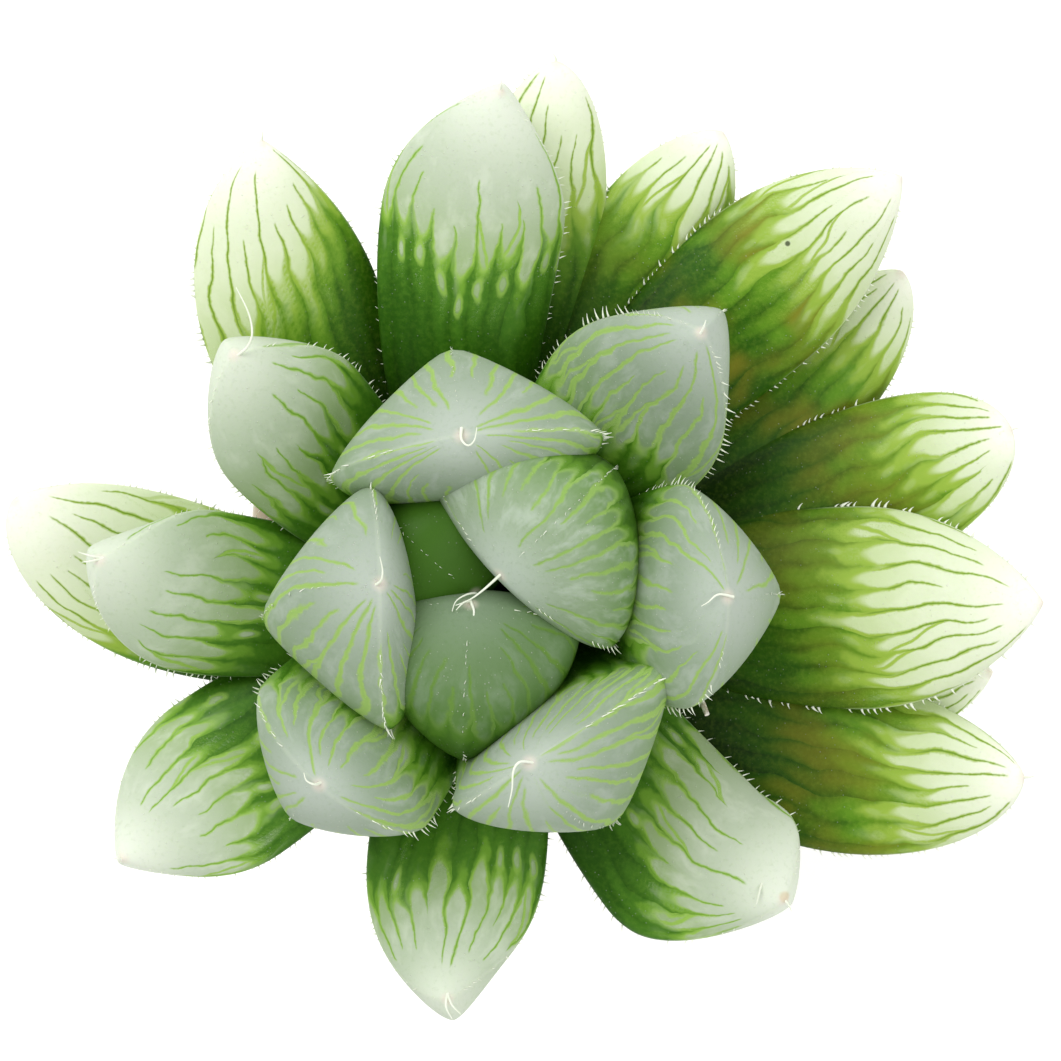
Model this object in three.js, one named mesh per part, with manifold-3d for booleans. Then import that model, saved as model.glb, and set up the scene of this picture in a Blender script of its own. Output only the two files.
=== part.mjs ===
// A potted haworthia: a rosette of 25 thick, boat-shaped leaves on a short leaning stem, which is rooted
// in the gritty soil of a small plain ceramic pot.
// Sizes are in millimetres. +Z is up, Z = 0 is the plane that the pot stands on, and the pot is centred on
// the Z axis. Seen from above with +Y up the page, the rosette lies as it does in its photograph.
// Angles are in degrees. Directions in plan turn anticlockwise from +X, and pitch is measured up from level.
import * as THREE from "three";
import { ParametricGeometry } from "three/addons/geometries/ParametricGeometry.js";
import { mergeVertices } from "three/addons/utils/BufferGeometryUtils.js";
import Module from "manifold-3d";

const wasm = await Module();
wasm.setup();

// The clear gap between pieces that touch on the real plant.
const gap = 0.3;

// How far a cut leaf's skin may move when its smallest facets are merged.
const facetTolerance = 0.03;

const pot = {
  height: 48,
  footRadius: 17.2,
  footChamfer: 0.8,
  collarHeight: 10,
  collarStep: 1.2,
  bodyRadius: 22.4,
  wall: 2.6,
  floor: 3.4,
  lipRadius: 1.1,
  drainRadius: 2.4,
  drainCircle: 9,
  drains: 3,
  drainSides: 16,
  lipSteps: 2,
  segments: 40,
};

const soil = {
  belowRim: 3,
  mound: 1.2,
  grit: 0.3,
  rings: 5,
  segments: 32,
};

// The stem leans from its place in the soil towards the rosette's centre.
const stem = {
  start: new THREE.Vector2(-1.2, -1.2),
  end: new THREE.Vector2(-3.2, -3.6),
  bottomRadius: 3.3,
  topRadius: 2.3,
  bareHeight: 3.5,
  leafyHeight: 12,
  rootedDepth: 11,
  sides: 12,
  rows: 3,
};

// Leaf heights are measured from here, where the lowest leaves leave the stem.
const leafLevel = pot.height - soil.belowRim + stem.bareHeight;

const leafMesh = { sides: 12, rings: 12, tipCrowding: 1.5 };

// What each ring of the rosette shares. A leaf runs from its base, baseRadius out from the stem's axis and
// baseHeight up, to its tip. It leaves at basePitch and ends at tipPitch, and the reaches are the lengths of
// the two bends as shares of the leaf's length. The upper face swells by upper and the back by lower.
// widest and thickest are places along the leaf, from 0 at its base to 1 at its tip, and the taper and
// bluntness powers shape the ends past them. keel is how sharply the back is ridged, and keelAtTip is the
// share of it that is left at the tip.
const everyLeaf = {
  baseReach: 0.35,
  tipReach: 0.3,
  sectionPower: 1.3,
  keel: 0.5,
  keelAtTip: 0.5,
  baseWidth: 0.62,
  widthTaper: 2,
  widthBluntness: 0.85,
  baseThickness: 0.42,
  thicknessTaper: 2.2,
  thicknessBluntness: 0.65,
  lift: 0,
  tipShift: 0,
};

const rings = {
  bud: {
    ...everyLeaf,
    baseRadius: 2,
    baseHeight: 11,
    basePitch: 60,
    tipPitch: 135,
    baseReach: 0.45,
    tipReach: 0.35,
    width: 18,
    upper: 3,
    lower: 8,
    widest: 0.7,
    thickest: 0.65,
    widthBluntness: 0.6,
    thicknessBluntness: 0.6,
    sectionPower: 1.05,
    keel: 0.3,
  },
  crown: {
    ...everyLeaf,
    baseRadius: 2,
    baseHeight: 8,
    basePitch: 36,
    tipPitch: 95,
    baseReach: 0.4,
    tipReach: 0.4,
    width: 21.5,
    upper: 3,
    lower: 8.5,
    widest: 0.8,
    thickest: 0.78,
    widthBluntness: 0.6,
    thicknessBluntness: 0.6,
    sectionPower: 1.12,
    keel: 0.85,
    keelAtTip: 0.3,
  },
  middle: {
    ...everyLeaf,
    baseRadius: 3,
    baseHeight: 5,
    basePitch: 45,
    tipPitch: 60,
    width: 15.5,
    upper: 2.2,
    lower: 6.5,
    widest: 0.68,
    thickest: 0.7,
    lift: 1,
  },
  outer: {
    ...everyLeaf,
    baseRadius: 3.5,
    baseHeight: 3,
    basePitch: 32,
    tipPitch: 30,
    width: 14,
    upper: 2,
    lower: 5,
    widest: 0.62,
    thickest: 0.7,
  },
};

// The leaves from the rosette's centre outwards: the tip's place, and the directions in plan in which the
// leaf leaves the stem and arrives at its tip.
const leaves = [
  { ring: "bud", tip: [-2.4, -3.5, 25], from: 40, to: 44, width: 20.5, lower: 9.5, tipPitch: 145 },
  { ring: "bud", tip: [-4.7, -5.7, 23.5], from: 266, to: 266, width: 17, lower: 10.5 },
  { ring: "bud", tip: [-4.4, -5.1, 21], from: 140, to: 140, width: 16 },
  { ring: "crown", tip: [-5.3, 7.3, 28], from: 100, to: 98, width: 21.5, lower: 8.8, tipPitch: 66 },
  {
    ring: "crown", tip: [2.4, -16.2, 28], from: -63, to: -57, width: 19.5, lower: 8, tipPitch: 98,
    tipShift: -3,
  },
  {
    ring: "crown", tip: [-11.5, -6.2, 28], from: 200, to: 181, width: 19, lower: 9, tipPitch: 100,
    tipShift: -2.1,
  },
  { ring: "crown", tip: [15.2, -5.1, 28], from: -10, to: 3, width: 17.5, upper: 3, lower: 9, tipPitch: 52 },
  {
    ring: "crown", tip: [13.2, 15.3, 27], from: 48, to: 46, width: 15.5, upper: 2.5, lower: 6.5,
    basePitch: 50, tipPitch: 62, widest: 0.6, widthBluntness: 0.8,
  },
  {
    ring: "crown", tip: [-16.4, -19.7, 26], from: 232, to: 229, width: 17, lower: 7, basePitch: 45,
    tipPitch: 70,
  },
  { ring: "middle", tip: [-23.2, 13.8, 23], from: 172, to: 125, width: 13.5 },
  { ring: "middle", tip: [-34.1, -2.3, 20], from: 207, to: 140, width: 13.3 },
  {
    ring: "middle", tip: [18.6, -32, 16], from: -71, to: -36, width: 15.5, lower: 7, tipPitch: 45,
    widest: 0.76, tipShift: 3,
  },
  { ring: "middle", tip: [-6.6, -37.3, 18], from: 257, to: 282, width: 14.5, tipPitch: 75, widest: 0.58 },
  { ring: "middle", tip: [-32.8, -26.4, 15], from: 228, to: 222, width: 14.8, tipPitch: 45 },
  {
    ring: "middle", tip: [-2.4, 34.9, 19], from: 118, to: 70, width: 14.8, tipPitch: 50,
    widthBluntness: 0.95,
  },
  { ring: "outer", tip: [-21.6, 31.3, 15], from: 165, to: 88, width: 15 },
  { ring: "outer", tip: [41, -5.8, 16], from: -20, to: 3, width: 16.5 },
  { ring: "outer", tip: [29.7, 28.3, 16], from: 52, to: 34, width: 13.8 },
  { ring: "outer", tip: [39, 8.2, 12], from: -10, to: 22, widthBluntness: 0.5 },
  { ring: "outer", tip: [40, -20, 12], from: -60, to: 8, width: 14.6, widthBluntness: 0.65 },
  { ring: "outer", tip: [-41.9, 2.5, 12], from: 215, to: 135, widthBluntness: 0.65 },
  { ring: "outer", tip: [2.1, 38, 12], from: 90, to: 85, width: 11, widthBluntness: 0.6 },
  { ring: "outer", tip: [15.6, 32.4, 11], from: 73, to: 56, width: 11.5, widthBluntness: 0.7 },
  { ring: "outer", tip: [30.4, 21.2, 9], from: 13, to: 60, width: 10.8, widthBluntness: 0.65 },
  { ring: "outer", tip: [37.8, -11.6, 9], from: -32, to: 12, width: 12.5 },
].map((leaf) => ({ ...rings[leaf.ring], ...leaf }));

const materials = {
  pot: new THREE.MeshStandardMaterial({ color: 0xe6e1d6, roughness: 0.55, metalness: 0 }),
  soil: new THREE.MeshStandardMaterial({ color: 0x43352a, roughness: 0.95, metalness: 0 }),
  stem: new THREE.MeshStandardMaterial({ color: 0x8a7f4e, roughness: 0.8, metalness: 0 }),
  bud: new THREE.MeshStandardMaterial({ color: 0x6f8f68, roughness: 0.4, metalness: 0 }),
  crown: new THREE.MeshStandardMaterial({ color: 0x96ab97, roughness: 0.4, metalness: 0 }),
  middle: new THREE.MeshStandardMaterial({ color: 0x8aa865, roughness: 0.45, metalness: 0 }),
  outer: new THREE.MeshStandardMaterial({ color: 0x9aad58, roughness: 0.45, metalness: 0 }),
};

const smooth = (t) => THREE.MathUtils.smoothstep(t, 0, 1);
const share = (value, from) => THREE.MathUtils.clamp((value - from) / (1 - from), 0, 1);

// Grows from start to 1 at the peak, then closes to 0 at 1.
function swell(along, start, peak, taper, bluntness) {
  if (along <= peak) return start + (1 - start) * smooth(along / peak);
  return (1 - share(along, peak) ** taper) ** bluntness;
}

function direction(turn, pitch) {
  const flat = Math.cos(pitch);
  return new THREE.Vector3(Math.cos(turn) * flat, Math.sin(turn) * flat, Math.sin(pitch));
}

function stemAxis(height) {
  return stem.start.clone().lerp(stem.end, height / stem.leafyHeight);
}

// The leaf's middle line and the directions in plan at its two ends.
function leafLine(leaf) {
  const from = THREE.MathUtils.degToRad(leaf.from);
  const to = THREE.MathUtils.degToRad(leaf.to);
  const axis = stemAxis(leaf.baseHeight);
  const base = direction(from, 0).multiplyScalar(leaf.baseRadius);
  base.add(new THREE.Vector3(axis.x, axis.y, leaf.baseHeight));
  const tip = new THREE.Vector3(...leaf.tip);
  const length = base.distanceTo(tip);
  const leaving = direction(from, THREE.MathUtils.degToRad(leaf.basePitch));
  const arriving = direction(to, THREE.MathUtils.degToRad(leaf.tipPitch));
  const curve = new THREE.CubicBezierCurve3(
    base,
    base.clone().addScaledVector(leaving, length * leaf.baseReach),
    tip.clone().addScaledVector(arriving, -length * leaf.tipReach),
    tip,
  );
  return { curve, from, to };
}

// A point of the leaf's skin: along runs from 0 at the base to 1 at the tip, and around is the angle in the
// section, with the two margins at 0 and half a turn and the keel at three quarters. grow fattens the section
// up to the tip, which stays a point.
function leafPoint(leaf, line, along, around, grow) {
  const extra = along < 1 ? grow : 0;
  const tangent = line.curve.getTangent(along);
  const turn = THREE.MathUtils.lerp(line.from, line.to, along);
  const sideways = new THREE.Vector3(-Math.sin(turn), Math.cos(turn), 0);
  sideways.addScaledVector(tangent, -sideways.dot(tangent)).normalize();
  const upwards = new THREE.Vector3().crossVectors(tangent, sideways);
  const thickness = swell(
    along, leaf.baseThickness, leaf.thickest, leaf.thicknessTaper, leaf.thicknessBluntness,
  );
  const halfWidth =
    (leaf.width / 2) * swell(along, leaf.baseWidth, leaf.widest, leaf.widthTaper, leaf.widthBluntness);
  const sine = Math.abs(Math.sin(around));
  const cosine = Math.cos(around);
  const round = sine ** leaf.sectionPower;
  const keelLeft = THREE.MathUtils.lerp(1, leaf.keelAtTip, share(along, leaf.thickest));
  const keel = leaf.keel * smooth(along / leaf.thickest) * keelLeft;
  const above = round * (leaf.upper * thickness + extra);
  const below = ((1 - keel) * round + keel * (1 - Math.abs(cosine))) * (leaf.lower * thickness + extra);
  const lifted = leaf.lift * smooth(along * 2) * (1 - share(along, leaf.thickest) ** 2);
  const shifted = leaf.tipShift * smooth(share(along, leaf.thickest));
  return line.curve
    .getPoint(along)
    .addScaledVector(sideways, cosine * (halfWidth + extra) + shifted)
    .addScaledVector(upwards, (Math.sin(around) >= 0 ? above : -below) + lifted);
}

// The first row of points is drawn together into the middle of the base, which closes the leaf there.
function leafGeometry(leaf, grow) {
  const line = leafLine(leaf);
  const skin = (across, rise, target) => {
    const row = rise * leafMesh.rings - 1;
    const along = 1 - (1 - Math.max(0, row) / (leafMesh.rings - 1)) ** leafMesh.tipCrowding;
    target.copy(leafPoint(leaf, line, along, across * 2 * Math.PI, grow));
    if (row < 0) target.lerp(line.curve.getPoint(0), -row);
  };
  return new ParametricGeometry(skin, leafMesh.sides, leafMesh.rings).translate(0, 0, leafLevel);
}

function stemGeometry(grow) {
  const height = stem.rootedDepth + stem.bareHeight + stem.leafyHeight + 2 * grow;
  const geometry = new THREE.CylinderGeometry(
    stem.topRadius + grow, stem.bottomRadius + grow, height, stem.sides, stem.rows,
  );
  geometry.rotateX(Math.PI / 2);
  geometry.translate(0, 0, stem.leafyHeight + grow - height / 2);
  const place = geometry.getAttribute("position");
  for (let i = 0; i < place.count; i += 1) {
    const axis = stemAxis(place.getZ(i));
    place.setXY(i, place.getX(i) + axis.x, place.getY(i) + axis.y);
  }
  return geometry.translate(0, 0, leafLevel);
}

// The pot's inner wall narrows evenly from the rim to the floor.
function potInside(height) {
  const bottom = pot.footRadius - pot.wall;
  const top = pot.bodyRadius + pot.collarStep - pot.wall;
  return THREE.MathUtils.lerp(bottom, top, (height - pot.floor) / (pot.height - pot.floor));
}

function potGeometry() {
  const collar = pot.height - pot.collarHeight;
  const rim = pot.bodyRadius + pot.collarStep;
  const lip = pot.lipRadius;
  const profile = new THREE.Path();
  profile.moveTo(0, 0);
  profile.lineTo(pot.footRadius - pot.footChamfer, 0);
  profile.lineTo(pot.footRadius, pot.footChamfer);
  profile.lineTo(pot.bodyRadius, collar - pot.collarStep);
  profile.lineTo(rim, collar);
  profile.lineTo(rim, pot.height - lip);
  profile.absarc(rim - lip, pot.height - lip, lip, 0, Math.PI / 2);
  profile.lineTo(potInside(pot.height) + lip, pot.height);
  profile.absarc(potInside(pot.height) + lip, pot.height - lip, lip, Math.PI / 2, Math.PI);
  profile.lineTo(potInside(pot.floor), pot.floor);
  profile.lineTo(0, pot.floor);
  return new THREE.LatheGeometry(profile.getPoints(pot.lipSteps), pot.segments).rotateX(Math.PI / 2);
}

function drainGeometry(number) {
  const drain = new THREE.CylinderGeometry(pot.drainRadius, pot.drainRadius, 3 * pot.floor, pot.drainSides);
  drain.rotateX(Math.PI / 2).translate(pot.drainCircle, 0, 0);
  return drain.rotateZ((number / pot.drains) * 2 * Math.PI);
}

// The soil fills the pot, with a low mound around the stem and an uneven top.
function soilGeometry() {
  const bottom = pot.floor + gap;
  const edge = pot.height - soil.belowRim;
  const radius = potInside(edge) - gap;
  const points = [new THREE.Vector2(0, bottom), new THREE.Vector2(potInside(bottom) - gap, bottom)];
  for (let ring = soil.rings; ring >= 0; ring -= 1) {
    const out = ring / soil.rings;
    points.push(new THREE.Vector2(radius * out, edge + soil.mound * (1 - smooth(out))));
  }
  const geometry = new THREE.LatheGeometry(points, soil.segments).rotateX(Math.PI / 2);
  const place = geometry.getAttribute("position");
  for (let i = 0; i < place.count; i += 1) {
    const [x, y, z] = [place.getX(i), place.getY(i), place.getZ(i)];
    const inner = 1 - Math.hypot(x, y) / radius;
    const bumps = Math.sin(1.7 * x + 0.6 * y) + Math.sin(1.9 * y - 0.8 * x + 2);
    if (z > edge) place.setZ(i, z + soil.grit * bumps * smooth(4 * inner));
  }
  return geometry;
}

function toSolid(geometry) {
  const bare = geometry.clone().deleteAttribute("normal").deleteAttribute("uv");
  const merged = mergeVertices(bare, 1e-4);
  return new wasm.Manifold(
    new wasm.Mesh({
      numProp: 3,
      vertProperties: merged.getAttribute("position").array,
      triVerts: new Uint32Array(merged.index.array),
    }),
  );
}

function toGeometry(solid) {
  const mesh = solid.getMesh();
  const geometry = new THREE.BufferGeometry();
  geometry.setAttribute("position", new THREE.BufferAttribute(mesh.vertProperties, 3));
  geometry.setIndex(new THREE.BufferAttribute(mesh.triVerts, 1));
  geometry.computeVertexNormals();
  return geometry;
}

// A cut can shave off loose crumbs, and only the largest body is the piece.
function largestBody(solid) {
  return solid.decompose().reduce((most, body) => (body.volume() > most.volume() ? body : most));
}

function addPiece(group, name, solid, material) {
  const mesh = new THREE.Mesh(toGeometry(solid), material);
  mesh.name = name;
  group.add(mesh);
}

function buildPot() {
  let solid = toSolid(potGeometry());
  for (let number = 0; number < pot.drains; number += 1) {
    solid = solid.subtract(toSolid(drainGeometry(number)));
  }
  return solid;
}

// Each leaf gives way to the stem and to every leaf nearer the centre, as the leaves clasp on the plant.
function buildLeaves() {
  let taken = toSolid(stemGeometry(gap));
  return leaves.map((leaf) => {
    const solid = toSolid(leafGeometry(leaf, 0)).subtract(taken);
    taken = taken.add(toSolid(leafGeometry(leaf, gap)));
    return largestBody(solid).simplify(facetTolerance);
  });
}

function buildHaworthia() {
  const group = new THREE.Group();
  addPiece(group, "pot", buildPot(), materials.pot);
  addPiece(group, "soil", toSolid(soilGeometry()).subtract(toSolid(stemGeometry(gap))), materials.soil);
  addPiece(group, "stem", toSolid(stemGeometry(0)), materials.stem);
  buildLeaves().forEach((solid, index) => {
    const name = `leaf_${String(index + 1).padStart(2, "0")}`;
    addPiece(group, name, solid, materials[leaves[index].ring]);
  });
  return group;
}

export default buildHaworthia();
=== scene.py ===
import bpy
import math
import numpy as np
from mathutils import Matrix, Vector


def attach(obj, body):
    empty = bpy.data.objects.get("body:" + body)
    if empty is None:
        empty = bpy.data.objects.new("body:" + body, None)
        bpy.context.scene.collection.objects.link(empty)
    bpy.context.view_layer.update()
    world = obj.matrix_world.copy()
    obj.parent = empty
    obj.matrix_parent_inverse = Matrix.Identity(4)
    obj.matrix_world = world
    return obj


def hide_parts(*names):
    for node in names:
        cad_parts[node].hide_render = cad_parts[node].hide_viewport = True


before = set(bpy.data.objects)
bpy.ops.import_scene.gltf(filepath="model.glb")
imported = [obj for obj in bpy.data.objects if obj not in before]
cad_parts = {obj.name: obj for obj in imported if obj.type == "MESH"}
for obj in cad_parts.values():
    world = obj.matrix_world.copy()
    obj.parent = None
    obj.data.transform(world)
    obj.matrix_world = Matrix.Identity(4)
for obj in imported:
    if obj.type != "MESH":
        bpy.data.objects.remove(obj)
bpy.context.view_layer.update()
mm = 0.001


# Maths on wires: sums, products and powers of wires and numbers add Math nodes.
class Wire:
    def __init__(self, nodes, socket):
        self.nodes = nodes
        self.socket = socket

    def maths(self, operation, *values):
        return self.nodes.maths(operation, *values)

    def __add__(self, other):
        return self.maths("ADD", self, other)

    def __radd__(self, other):
        return self.maths("ADD", other, self)

    def __sub__(self, other):
        return self.maths("SUBTRACT", self, other)

    def __rsub__(self, other):
        return self.maths("SUBTRACT", other, self)

    def __mul__(self, other):
        return self.maths("MULTIPLY", self, other)

    def __rmul__(self, other):
        return self.maths("MULTIPLY", other, self)

    def __truediv__(self, other):
        return self.maths("DIVIDE", self, other)

    def __pow__(self, other):
        return self.maths("POWER", self, other)

    def __abs__(self):
        return self.maths("ABSOLUTE", self)

    def floor(self):
        return self.maths("FLOOR", self)

    def least(self, other):
        return self.maths("MINIMUM", self, other)

    def most(self, other):
        return self.maths("MAXIMUM", self, other)

    def cosine(self):
        return self.maths("COSINE", self)

    def sine(self):
        return self.maths("SINE", self)

    def ease(self, low, high):  # 0 at low, 1 at high, with a soft step between
        ends = {"Value": self, "From Min": low, "From Max": high}
        return self.nodes.node("ShaderNodeMapRange", {"interpolation_type": "SMOOTHSTEP"}, ends)


class Nodes:
    def __init__(self, tree):
        self.tree = tree
        self.tree.nodes.clear()

    def node(self, kind, settings=None, inputs=None, out=0):
        node = self.tree.nodes.new(kind)
        for name, value in (settings or {}).items():
            setattr(node, name, value)
        for name, value in (inputs or {}).items():
            self.plug(node.inputs[name], value)
        return Wire(self, node.outputs[out]) if len(node.outputs) else node

    def plug(self, slot, value):
        if isinstance(value, Wire):
            self.tree.links.new(value.socket, slot)
        elif slot.type == "RGBA" and len(value) == 3:
            slot.default_value = (*value, 1)
        else:
            slot.default_value = value

    def maths(self, operation, *values):
        return self.node("ShaderNodeMath", {"operation": operation}, dict(enumerate(values)))

    def vector(self, x, y, z=0.0):
        return self.node("ShaderNodeCombineXYZ", inputs={0: x, 1: y, 2: z})

    def part(self, vector, number):
        return self.node("ShaderNodeSeparateXYZ", inputs={0: vector}, out=number)

    def noise(self, place, scale, detail=2.0, roughness=0.5):
        inputs = {"Vector": place, "Scale": scale, "Detail": detail, "Roughness": roughness}
        return self.node("ShaderNodeTexNoise", inputs=inputs)


class Paint(Nodes):
    def __init__(self, name):
        self.material = bpy.data.materials.new(name)
        self.material.use_nodes = True
        super().__init__(self.material.node_tree)

    def mix(self, factor, first, second):
        return self.node("ShaderNodeMix", {"data_type": "RGBA"}, {0: factor, 6: first, 7: second}, 2)

    def random(self, number, seed):  # a steady random number for each whole number
        spread = number * 1.37 + seed * 91.7
        return self.node("ShaderNodeTexWhiteNoise", {"noise_dimensions": "1D"}, {"W": spread})

    def place(self):
        return self.node("ShaderNodeTexCoord", out="Object")

    def trait(self, name):
        return self.node("ShaderNodeAttribute", {"attribute_name": name}, out="Fac")

    def cells(self, place, scale):  # distance to the nearest of many scattered points
        return self.node("ShaderNodeTexVoronoi", inputs={"Vector": place, "Scale": scale})

    def near(self, place, point, radius):  # 1 close to a point, 0 beyond the radius, both in mm
        ends = {0: place, 1: [step * mm for step in point]}
        away = self.node("ShaderNodeVectorMath", {"operation": "DISTANCE"}, ends, "Value")
        return 1 - away.ease(radius * 0.5 * mm, radius * mm)

    def finish(self, colour, roughness, bump=None, depth=0.0, **fixed):
        shader = {"Base Color": colour, "Roughness": roughness}
        if bump is not None:
            relief = {"Height": bump, "Distance": depth, "Strength": 1.0}
            shader["Normal"] = self.node("ShaderNodeBump", inputs=relief)
        shader.update({name.replace("_", " "): value for name, value in fixed.items()})
        surface = self.node("ShaderNodeBsdfPrincipled", inputs=shader)
        self.node("ShaderNodeOutputMaterial", inputs={"Surface": surface})
        return self.material


# A Geometry Nodes tree with named sizes, which grows a piece from a plain carrier mesh.
class Grower(Nodes):
    def __init__(self, name):
        super().__init__(bpy.data.node_groups.new(name, "GeometryNodeTree"))
        for way in ("INPUT", "OUTPUT"):
            self.tree.interface.new_socket("Geometry", in_out=way, socket_type="NodeSocketGeometry")
        self.entry = self.tree.nodes.new("NodeGroupInput")
        self.sizes = {}
        self.carrier = Wire(self, self.entry.outputs[0])

    def size(self, name, value, kind="Float"):
        socket = self.tree.interface.new_socket(name, in_out="INPUT", socket_type=f"NodeSocket{kind}")
        self.sizes[socket.identifier] = value
        return Wire(self, self.entry.outputs[name])

    def named(self, name, kind="FLOAT"):
        return self.node("GeometryNodeInputNamedAttribute", {"data_type": kind}, {"Name": name})

    def random(self, low, high, seed):
        return self.node("FunctionNodeRandomValue", {"data_type": "FLOAT"}, {2: low, 3: high, 8: seed}, 1)

    def randomVector(self, low, high, seed):
        ends = {0: low, 1: high, 8: seed}
        return self.node("FunctionNodeRandomValue", {"data_type": "FLOAT_VECTOR"}, ends)

    def grow(self, name, carrier, shape, material, creaseAngle=None):
        shape = self.node("GeometryNodeRealizeInstances", inputs={"Geometry": shape})
        shape = self.node("GeometryNodeSetShadeSmooth", inputs={"Geometry": shape, "Shade Smooth": True})
        shape = self.node("GeometryNodeSetMaterial", inputs={"Geometry": shape, "Material": material})
        self.node("NodeGroupOutput", inputs={0: shape})
        modifier = carrier.modifiers.new(name, "NODES")
        modifier.node_group = self.tree
        for identifier, value in self.sizes.items():
            modifier[identifier] = value
        grown = carrier.evaluated_get(bpy.context.evaluated_depsgraph_get())
        mesh = bpy.data.meshes.new_from_object(grown)
        carrier.modifiers.remove(modifier)
        bpy.data.objects.remove(carrier)
        if creaseAngle is not None:
            mesh.set_sharp_from_angle(angle=creaseAngle)
        piece = bpy.data.objects.new(name, mesh)
        bpy.context.scene.collection.objects.link(piece)
        return piece


def linear(*levels):  # red, green and blue from the 0 to 255 of a colour picker
    parts = [level / 255 for level in levels]
    return tuple(part / 12.92 if part < 0.0405 else ((part + 0.055) / 1.055) ** 2.4 for part in parts)


# ---- leaves: the skins of the solids before their neighbours were cut out of them, in the same
# millimetres, with finer faces. These leaves aren't cut, so neighbours pass into each other.

leafLevel = 48.5
stemLine = {"start": (-1.2, -1.2), "end": (-3.2, -3.6), "leafyHeight": 12}
leafMesh = {"sides": 72, "rows": 84, "tipCrowding": 1.5, "keelRounding": 0.12}
leafMapSpan = 50.0  # mm from a leaf's tip to the far edge of its map

everyLeaf = dict(
    baseReach=0.35, tipReach=0.3, sectionPower=1.3, keel=0.5, keelAtTip=0.5, lift=0, tipShift=0,
    baseWidth=0.62, widthTaper=2, widthBluntness=0.85,
    baseThickness=0.42, thicknessTaper=2.2, thicknessBluntness=0.65,
    slant=0, ochre=0, pale=1,
)
rings = {
    "bud": dict(
        everyLeaf, baseRadius=2, baseHeight=11, basePitch=60, tipPitch=135, baseReach=0.45, tipReach=0.35,
        width=18, upper=3, lower=8, widest=0.7, thickest=0.65, widthBluntness=0.6, thicknessBluntness=0.6,
        sectionPower=1.05, keel=0.3,
    ),
    "crown": dict(
        everyLeaf, baseRadius=2, baseHeight=8, basePitch=36, tipPitch=95, baseReach=0.4, tipReach=0.4,
        width=21.5, upper=3, lower=8.5, widest=0.8, thickest=0.78, widthBluntness=0.6,
        thicknessBluntness=0.6, sectionPower=1.12, keel=0.85, keelAtTip=0.3,
    ),
    "middle": dict(
        everyLeaf, baseRadius=3, baseHeight=5, basePitch=45, tipPitch=60, width=15.5, upper=2.2, lower=6.5,
        widest=0.68, thickest=0.7, lift=1,
    ),
    "outer": dict(
        everyLeaf, baseRadius=3.5, baseHeight=3, basePitch=32, tipPitch=30, width=14, upper=2, lower=5,
        widest=0.62, thickest=0.7,
    ),
}
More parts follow.
